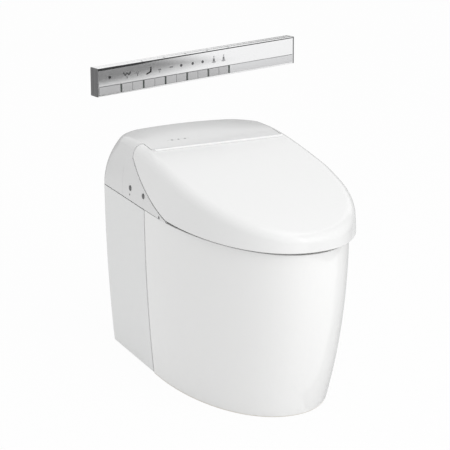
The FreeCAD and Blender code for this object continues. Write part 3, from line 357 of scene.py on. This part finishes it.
def mount(name):
    """One named mount of the part's record."""
    return next(entry for entry in frame["record"]["mounts"] if entry["name"] == name)


def bar(bm, low, high):
    """Adds a straight bar between two corners."""
    size = Vector(high) - Vector(low)
    at = Matrix.Translation((Vector(low) + Vector(high)) / 2)
    bmesh.ops.create_cube(bm, size=1, matrix=at @ Matrix.Diagonal((*size, 1)))


def aimed(way):
    """Turn that points the upright in a direction."""
    return Vector((0, 0, 1)).rotation_difference(Vector(way)).to_matrix().to_4x4()


def turned(profile, centre, way, steps=32):
    """Round shape spun from a profile of (radius, height) pairs about a line through a centre."""
    bm = bmesh.new()
    rail = [bm.verts.new((radius, 0, height)) for radius, height in profile]
    edges = [bm.edges.new(pair) for pair in zip(rail, rail[1:])]
    bmesh.ops.spin(bm, geom=rail + edges, cent=(0, 0, 0), axis=(0, 0, 1), angle=2 * math.pi,
                   steps=steps, use_merge=True)
    bmesh.ops.remove_doubles(bm, verts=bm.verts, dist=1e-6)
    bmesh.ops.recalc_face_normals(bm, faces=bm.faces)
    bmesh.ops.transform(bm, matrix=Matrix.Translation(centre) @ aimed(way), verts=bm.verts)
    return bm


milky = Finish("milky_plastic", (0.74, 0.745, 0.73), 0.48)
milky.tint(milky.cloud(9, 3.0) * 0.25, (0.66, 0.66, 0.64))
milky.feed("Roughness", milky.cloud(220) * 0.14 + 0.40)
milky.bump(milky.cloud(1600, 1.0), 0.00012, 0.25)
for node in ("flush_tank", "flush_tank_lid"):
    soften(node, 0.0012, milky, "toilet_body")
dress(milky, "fill_valve", "fill_float")
tank_low, tank_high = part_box("flush_tank")
rib_count = 5
rib_width = 0.012
rib_rise = 0.0022
rib_step = 0.034
rib_margin = 0.020
rib_round = 0.0018
bm = bmesh.new()
for i in range(rib_count):
    x = tank_high.x - rib_margin - rib_width - i * rib_step
    bar(bm, (x, tank_high.y - rib_rise, tank_low.z + rib_margin),
        (x + rib_width, tank_high.y + rib_rise, tank_high.z - rib_margin))
round_over(bm, rib_round, 3)
settle("tank_ribs", bm, milky, "toilet_body")
inlet_spot = Vector(mount("water_inlet")["pos_m"])
over_spigot = Vector((0, -0.004, 0.05))
nut_depth = 0.0042
nut_gap = 0.0002
spigot, _ = touch("fill_valve", inlet_spot + over_spigot, (0, 0, -1))
spigot_radius = spigot.z - inlet_spot.z
nut_face = 1.5 * spigot_radius
nut_radius = 1.6 * spigot_radius
nut = [(spigot_radius, 0), (nut_face, 0), (nut_radius, 0.1 * nut_depth), (nut_radius, 0.9 * nut_depth),
       (nut_face, nut_depth), (spigot_radius, nut_depth), (spigot_radius, 0)]
nut_spot = (inlet_spot.x, tank_high.y + nut_gap, inlet_spot.z)
settle("inlet_nut", turned(nut, nut_spot, (0, 1, 0), 6), milky, "toilet_body", 25)

# Jet pump: black housing with a bladed rotor on the tank shelf, and a pipe to the bowl.
# The pipe runs through the frame, and the waste outlet sits in a rubber ring.

black_shell = Finish("black_moulding", (0.045, 0.045, 0.048), 0.42)
black_shell.tint(black_shell.cloud(30, 3.0) * 0.6, (0.075, 0.075, 0.078))
black_shell.feed("Roughness", black_shell.cloud(160) * 0.2 + 0.32)
black_shell.bump(black_shell.cloud(1400, 1.0), 0.00012, 0.3)
dress(black_shell, "jet_pump_housing", "flush_pipe")
dress(milky, "jet_pump_rotor", "dryer_rotor")
rubber = Finish("grey_rubber", (0.40, 0.40, 0.39), 0.75)
rubber.tint(rubber.cloud(120, 3.0) * 0.6, (0.32, 0.32, 0.315))
rubber.bump(rubber.cloud(900, 2.0), 0.00015, 0.3)
dress(rubber, "outlet_seal")

# Upper bay: a base plate with the seat and lid drives, the dryer, the heater and the boards on it.
# The heater's shell and the hinge pins are brushed steel, and the boards are green laminate.

dress(milky, "base_plate", "dryer_housing", "dryer_duct", "wand_guide", "seat_drive", "lid_drive")
dress(black_shell, "wand_drive", "cord_gland")
steel = Finish("brushed_steel", (0.60, 0.60, 0.59), 0.32, {"Metallic": 1.0})
brushing = steel.cloud(60, 4.0, (1, 40, 40))
steel.tint(brushing * 0.5, (0.48, 0.48, 0.475))
steel.feed("Roughness", brushing * 0.22 + 0.24)
steel.bump(brushing, 0.00006, 0.3)
soften("water_heater", 0.006, steel, "toilet_body", 4)
dress(steel, "hinge_pin_left", "hinge_pin_right")
laminate = Finish("green_laminate", (0.018, 0.13, 0.06), 0.36)
tracks = make(laminate.tree, "TexBrick", {"offset": 0.37, "squash": 1.0},
              {"Vector": laminate.place(), "Scale": 55.0, "Mortar Size": 0.012, "Bias": 0.0}, "Fac")
laminate.tint(tracks, (0.05, 0.26, 0.12))
laminate.feed("Roughness", tracks * 0.1 + 0.30)
laminate.bump(tracks, 0.00004, 0.5)
dress(laminate, "control_board", "remote_board")

# Side covers: injection-moulded panels that close the machine bay behind the bowl.
# Their white is matched to the glaze, and screws hold their rear edges to the frame.


def moulded(name, colour, roughness):
    """Glossy white moulding with a faint waviness and a polished skin."""
    skin = Finish(name, colour, roughness, {"Coat Weight": 0.15, "Coat Roughness": 0.08})
    skin.tint(skin.cloud(3.5) * 0.35, tuple(0.975 * c for c in colour))
    skin.feed("Roughness", skin.cloud(25) * 0.06 + (roughness - 0.03))
    skin.bump(skin.cloud(60, 1.0), 0.0004, 0.08)
    return skin


panel = moulded("panel_white", (0.862, 0.868, 0.865), 0.24)
dress(panel, "side_cover_left", "side_cover_right")
screw_head = [(0.0, 0.0009), (0.0011, 0.0009), (0.0016, 0.0020), (0.0028, 0.0018), (0.0036, 0.0008),
              (0.0037, -0.0004), (0.0, -0.0004)]
screw_offset = 0.158
screw_heights = (0.045, 0.195, 0.345)
behind = 0.60
for side, x in (("left", -screw_offset), ("right", screw_offset)):
    for i, z in enumerate(screw_heights):
        spot, out = touch("side_cover_" + side, (x, behind, z), (0, -1, 0))
        screw = turned(screw_head, spot, out, 24)
        settle("panel_screw_%s_%d" % (side, i + 1), screw, steel, "toilet_body")

# Rear cover: white moulding with the cheeks, the tower between the lid's ears and the shell behind.
# A thin grey line, darker than the cover, is drawn up each cheek where the shell begins.
# Two flush buttons sit in the left cheek, and an indicator window lies flush in the top.


def grained(name, colour, scale, spread, least, settings=None):
    """One-colour finish whose gloss varies with a fine grain."""
    skin = Finish(name, colour, least, settings)
    skin.feed("Roughness", skin.cloud(scale) * spread + least)
    return skin


cover = moulded("cover_white", (0.810, 0.812, 0.811), 0.22)
dress(cover, "rear_cover", "tower_housing")
button = grained("button_grey", (0.09, 0.09, 0.094), 300, 0.15, 0.28)
dress(button, "flush_button_front", "flush_button_rear")
smoke = grained("window_smoke", (0.785, 0.788, 0.787), 80, 0.06, 0.12, {"Coat Weight": 0.4})
dress(smoke, "indicator_lens")


def cut(bm, spot, away, clear=False):
    """Cuts a mesh along a plane, and can clear what lies beyond it."""
    everything = bm.verts[:] + bm.edges[:] + bm.faces[:]
    bmesh.ops.bisect_plane(bm, geom=everything, plane_co=spot, plane_no=away, clear_outer=clear)


def peeled(node, cuts, out, rise):
    """Strip of a solid's outer skin inside some cutting planes, with a thickness."""
    bm = merged(node)
    for spot, away in cuts:
        cut(bm, spot, away, True)
    inner = [face for face in bm.faces if face.normal.dot(Vector(out)) < 0.7]
    bmesh.ops.delete(bm, geom=inner, context="FACES")
    whole_faces(bm, 0.2)
    bmesh.ops.solidify(bm, geom=bm.faces[:], thickness=-rise)
    return bm


grey_line_reach = 0.174
grey_line_half = 0.0005
grey_line_top = 0.453
grey_line_rise = 0.0001
cheek_inside = 0.1
# A thin strip of darker grey lies on each cheek's skin where the shell begins.
grey_line_skin = moulded("cheek_line_grey", (0.66, 0.662, 0.661), 0.4)
for side, way in (("left", -1), ("right", 1)):
    cuts = [((0, grey_line_reach + grey_line_half, 0), (0, 1, 0)), ((0, grey_line_reach - grey_line_half, 0), (0, -1, 0)),
            ((0, 0, grey_line_top), (0, 0, 1)), ((way * cheek_inside, 0, 0), (-way, 0, 0))]
    grey_line = peeled("rear_cover", cuts, (way, 0, 0), grey_line_rise)
    settle("cheek_grey_line_" + side, grey_line, grey_line_skin, "toilet_body")
# Painted highlight: the collars round the flush buttons are a lighter white than the cover, standing
# for the light ring round each button.
collar_highlight = moulded("collar_painted_highlight", (0.90, 0.90, 0.895), 0.12)
lip = [(0.0066, -0.0016), (0.0064, 0.0002), (0.0069, 0.0008), (0.0078, 0.0007), (0.0086, -0.0002),
       (0.0088, -0.0016), (0.0066, -0.0016)]
beside_collar = 0.0095
beside_cheek = -0.30
for side in ("front", "rear"):
    low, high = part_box("flush_button_" + side)
    middle = (low + high) / 2
    spot, out = touch("rear_cover", (beside_cheek, middle.y + beside_collar, middle.z), (1, 0, 0))
    ring = turned(lip, (spot.x, middle.y, middle.z), out)
    settle("flush_collar_" + side, ring, collar_highlight, "toilet_body")
dot_ink = grained("cheek_dot_grey", (0.05, 0.05, 0.053), 400, 0.1, 0.25)
# The second dot is a plain dark dot at the cheek's front tip, where the cheek meets the lid.
cheek_dots = [("light_sensor", 0.1306, 0.3961, 0.0023), ("cheek_dark_dot", -0.033, 0.3866, 0.0036)]
for name, y, z, radius in cheek_dots:
    spot, out = touch("rear_cover", (beside_cheek, y, z), (1, 0, 0))
    dome = [(0.0, 0.0005), (0.6 * radius, 0.0004), (radius, 0.0001), (radius, -0.0012), (0.0, -0.0012)]
    settle(name, turned(dome, spot, out, 20), dot_ink, "toilet_body")
mark_ink = grained("indicator_ink", (0.22, 0.223, 0.226), 400, 0.1, 0.25)
low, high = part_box("indicator_lens")
mark = [(0.0, 0.0004), (0.0016, 0.0003), (0.002, -0.0003), (0.0, -0.0003)]
mark_size = Matrix.Diagonal((1.3, 1.8, 1, 1))
mark_shares = (0.2, 0.5, 0.8)
above = 0.6
for i, share in enumerate(mark_shares):
    x = low.x + (high.x - low.x) * share
    spot, out = touch("indicator_lens", (x, (low.y + high.y) / 2, above), (0, 0, -1))
    bm = turned(mark, (0, 0, 0), (0, 0, 1), 20)
    bmesh.ops.transform(bm, matrix=Matrix.Translation(spot) @ aimed(out) @ mark_size, verts=bm.verts)
    settle("indicator_mark_%d" % (i + 1), bm, mark_ink, "toilet_body")

# Seat: heated plastic ring, open at the rear, with two arms swept up to the hinge.
# Rubber feet keep it off the china, and the lid off the seat.

seat_skin = moulded("seat_white", (0.885, 0.885, 0.872), 0.28)
dress(seat_skin, "seat")
dress(rubber, *(name for name in frame["nodes"] if "bumper" in name))

# Lid: deep gloss moulding that wraps over the seat, with an ear on each side of the tower.
# A raised bead runs along its rear edge between the ears.

lid_skin = moulded("lid_white", (0.910, 0.912, 0.909), 0.20)
dress(lid_skin, "lid")
bead_half = 0.1555
bead_width = 0.0075
bead_rise = 0.0038
bead_inset = 0.0025
bead_floor = 0.47
bead_round = 0.0017
lid_edge, _ = touch("lid", (0, 0.30, 0.50), (0, -1, 0))
bead_rear = lid_edge.y - bead_inset
cuts = [((0, bead_rear - bead_width, 0), (0, -1, 0)), ((0, bead_rear, 0), (0, 1, 0)),
        ((bead_half, 0, 0), (1, 0, 0)), ((-bead_half, 0, 0), (-1, 0, 0)),
        ((0, 0, bead_floor), (0, 0, -1))]
bm = peeled("lid", cuts, (0, 0, 1), bead_rise)
round_over(bm, bead_round, 4, 50)
# Painted highlight: the bead is a brighter, glossier white than the rest of the lid.
bead_highlight_skin = moulded("bead_painted_highlight", (0.965, 0.966, 0.964), 0.12)
settle("lid_rear_bead", bm, bead_highlight_skin, "lid_body")

# Wash wand and dryer flap: white mouldings that come out under the tower when the seat is in use.
# The wand ends in a grey head with its spray holes on top, drawn as dark discs of painted shade.

wand_skin = moulded("wand_white", (0.86, 0.862, 0.86), 0.22)
dress(wand_skin, "wash_wand", "dryer_flap")
tip_skin = moulded("wand_grey", (0.46, 0.475, 0.48), 0.3)
dress(tip_skin, "wand_tip")
low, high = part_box("wand_tip")
# Painted shade: each spray hole is a dark disc standing for the shade inside the hole.
hole_shade = grained("spray_hole_shade", (0.03, 0.03, 0.032), 500, 0.1, 0.45)
hole = [(0.0, 0.0001), (0.0006, 0.0001), (0.0009, 0.00025), (0.0011, -0.0003), (0.0, -0.0003)]
hole_pitch = 0.0028
for i, x in enumerate((-hole_pitch, 0, hole_pitch)):
    spot, out = touch("wand_tip", (x, (low.y + high.y) / 2, above), (0, 0, -1))
    settle("spray_hole_%d" % (i + 1), turned(hole, spot, out, 16), hole_shade, "wand_body")

# Wall remote: slim case with a satin silver face, its two ends painted dark grey as painted shade,
# hung on a steel holder.
# Sprung keys stand in a row along its lower edge, with a sign of ink above each.
# A black strip in the gap under the top rail is a painted shadow of that gap, taller at the left.

bracket = mount("bracket_screws")
wall_spot = Vector(bracket["pos_m"])
wall_turn = math.atan2(-bracket["axis"][0], bracket["axis"][1])
hang = stood(wall_spot, wall_turn)


def wall_box(node):
    """Corners of a solid as it lies square to the remote's wall."""
    spots = [hang.inverted() @ vert.co for vert in frame["nodes"][node].data.vertices]
    return Vector(map(min, zip(*spots))), Vector(map(max, zip(*spots)))


face_low, face_high = wall_box("remote_front_case")
shade_band_left = 0.0026
shade_band_right = 0.0036
silver = Finish("satin_silver", (0.94, 0.942, 0.948), 0.20, {"Metallic": 0.8})
flake = silver.cells(5200)
length = square_to(silver.tree, wall_spot, wall_turn, "X")
# Painted shade: both ends of the case turn dark grey, matt and not metallic.
painted_shade_ends = (length < face_low.x + shade_band_left) + (length > face_high.x - shade_band_right)
silver.tint(flake * 0.10 + painted_shade_ends, (0.135, 0.135, 0.138))
silver.feed("Metallic", 0.8 - painted_shade_ends * 0.8)
silver.feed("Roughness", flake * 0.05 + painted_shade_ends * 0.20 + 0.17)
for node in ("remote_front_case", "remote_back_cover"):
    soften(node, 0.0012, silver, "remote_body", 3)
key_skin = grained("key_silver", (0.50, 0.50, 0.505), 700, 0.14, 0.42, {"Metallic": 0.25})
keys = ["remote_stop_button"] + ["remote_button_%02d" % (i + 1) for i in range(10)]
for name in keys:
    soften(name, 0.0007, key_skin, name + "_body", 3)
strip_skin = grained("strip_silver", (0.66, 0.662, 0.67), 700, 0.14, 0.38, {"Metallic": 0.25})
soften("remote_end_strip", 0.0006, strip_skin, "remote_body", 3)
sleeve = grained("cell_sleeve", (0.03, 0.033, 0.04), 90, 0.1, 0.2, {"Coat Weight": 0.3})
dress(sleeve, "remote_cell_left", "remote_cell_right")
black_ink = grained("black_ink", (0.02, 0.02, 0.022), 600, 0.1, 0.35)
dark_ink = grained("dark_ink", (0.08, 0.08, 0.083), 600, 0.1, 0.35)
grey_ink = grained("grey_ink", (0.20, 0.20, 0.205), 600, 0.1, 0.35)
pale_ink = grained("pale_ink", (0.42, 0.42, 0.43), 600, 0.1, 0.35)


def hung(name, bm, finish):
    """Piece drawn square to the wall, turned into its place on the remote."""
    bmesh.ops.transform(bm, matrix=hang, verts=bm.verts)
    settle(name, bm, finish, "remote_body")


trim_rise = 0.0003
trim_round = 0.0002
# Painted shadow: the black strip under the top rail stands for the shade in the gap, and is taller at
# its left end.
gap_shadow_drop = 0.0008
gap_shadow_top = face_high.z - gap_shadow_drop
gap_shadow_left = face_low.x + shade_band_left
gap_shadow_right = face_high.x - shade_band_right
gap_shadow = [(gap_shadow_left, 0.0050), (gap_shadow_left + 0.105, 0.0046), (gap_shadow_left + 0.150, 0.0026),
          (gap_shadow_right, 0.0020)]
bm = bmesh.new()
bar(bm, (gap_shadow_left, face_low.y - trim_rise, gap_shadow_top - gap_shadow[0][1]),
    (gap_shadow_right, face_low.y + trim_rise, gap_shadow_top))
for x, _ in gap_shadow[1:-1]:
    cut(bm, (x, 0, 0), (1, 0, 0))
for vert in bm.verts:
    if vert.co.z < gap_shadow_top - gap_shadow[-1][1] / 2:
        vert.co.z = gap_shadow_top - min(gap_shadow, key=lambda stop: abs(stop[0] - vert.co.x))[1]
round_over(bm, trim_round, 2)
hung("remote_gap_shadow", bm, black_ink)
tick_width = 0.0022
tick_depth = 0.0075
tick_gap = 0.001
tick_front = face_low.y + 0.0012
bm = bmesh.new()
for name in keys[2::2]:
    _, high = wall_box(name)
    bar(bm, (high.x + tick_gap, tick_front, face_high.z - trim_rise),
        (high.x + tick_gap + tick_width, tick_front + tick_depth, face_high.z + trim_rise))
round_over(bm, trim_round, 2)
hung("remote_rail_ticks", bm, dark_ink)
# Painted shade: a grey strip on the face just over the keys stands for the shade in the groove above
# the key row.
key_shadow_tall = 0.0009
_, strip_high = wall_box("remote_end_strip")
first_low, _ = wall_box(keys[0])
bm = bmesh.new()
bar(bm, (first_low.x, face_low.y - trim_rise, strip_high.z + trim_rise),
    (strip_high.x, face_low.y + trim_rise, strip_high.z + trim_rise + key_shadow_tall))
round_over(bm, trim_round, 2)
hung("remote_key_groove_shadow", bm, grey_ink)

ink_depth = 0.0003
ink_drop = 0.0235


def disc(bm, x, z, across, tall):
    """Flat oval of ink on the remote's face."""
    at = Matrix.Translation((x, face_low.y, z)) @ Matrix.Diagonal((across, 1, tall, 1))
    bmesh.ops.create_cone(bm, cap_ends=True, segments=24, radius1=1, radius2=1, depth=ink_depth,
                          matrix=at @ upright)


def stroke(bm, start, end, width):
    """Flat stroke of ink with round ends on the remote's face."""
    start, end = Vector(start), Vector(end)
    middle = (start + end) / 2
    lean = Matrix.Rotation(math.atan2(end.x - start.x, end.y - start.y), 4, "Y")
    at = Matrix.Translation((middle.x, face_low.y, middle.y)) @ lean
    size = (width, ink_depth, (end - start).length, 1)
    bmesh.ops.create_cube(bm, size=1, matrix=at @ Matrix.Diagonal(size))
    for tip in (start, end):
        disc(bm, tip.x, tip.y, width / 2, width / 2)


def spray(bm, x, z):
    """Two crossed jets that rise from a stem."""
    for side in (-1, 1):
        stroke(bm, (x + side * 0.0095, z + 0.0050), (x + side * 0.0052, z - 0.0010), 0.0032)
        stroke(bm, (x + side * 0.0052, z - 0.0010), (x, z + 0.0034), 0.0030)
    stroke(bm, (x, z - 0.0045), (x, z - 0.0085), 0.0018)


def small_spray(bm, x, z):
    """One soft jet over a short stem."""
    for side in (-1, 1):
        stroke(bm, (x, z - 0.0030), (x + side * 0.0038, z + 0.0026), 0.0024)
    stroke(bm, (x, z - 0.0030), (x, z - 0.0066), 0.0020)


def sitter(bm, x, z):
    """Figure on a seat, seen from its side."""
    disc(bm, x + 0.0042, z + 0.0072, 0.0021, 0.0021)
    stroke(bm, (x + 0.0042, z + 0.0030), (x + 0.0036, z - 0.0020), 0.0048)
    stroke(bm, (x + 0.0034, z - 0.0026), (x - 0.0068, z - 0.0064), 0.0038)


def mist(bm, x, z):
    """Low oval over a dot."""
    disc(bm, x, z - 0.0014, 0.0046, 0.0022)
    disc(bm, x, z - 0.0066, 0.0014, 0.0014)


def dash(bm, x, z):
    """Short level stroke."""
    stroke(bm, (x - 0.0034, z), (x + 0.0034, z), 0.0030)


def dot(bm, x, z):
    """Round dot."""
    disc(bm, x, z, 0.0034, 0.0034)


def open_lid(bm, x, z):
    """Bowl with its lid up."""
    disc(bm, x, z - 0.0052, 0.0062, 0.0022)
    stroke(bm, (x, z - 0.0030), (x, z + 0.0022), 0.0056)
    disc(bm, x, z + 0.0074, 0.0021, 0.0018)


signs = [(dot, black_ink), (spray, dark_ink), (small_spray, grey_ink), (sitter, black_ink),
         (mist, grey_ink), (dash, grey_ink), (dot, dark_ink), (dot, dark_ink), (dot, dark_ink),
         (open_lid, pale_ink), (open_lid, pale_ink)]
for name, (draw, ink) in zip(keys, signs):
    low, high = wall_box(name)
    bm = bmesh.new()
    draw(bm, (low.x + high.x) / 2, face_high.z - ink_drop)
    hung(name.replace("button", "sign"), bm, ink)
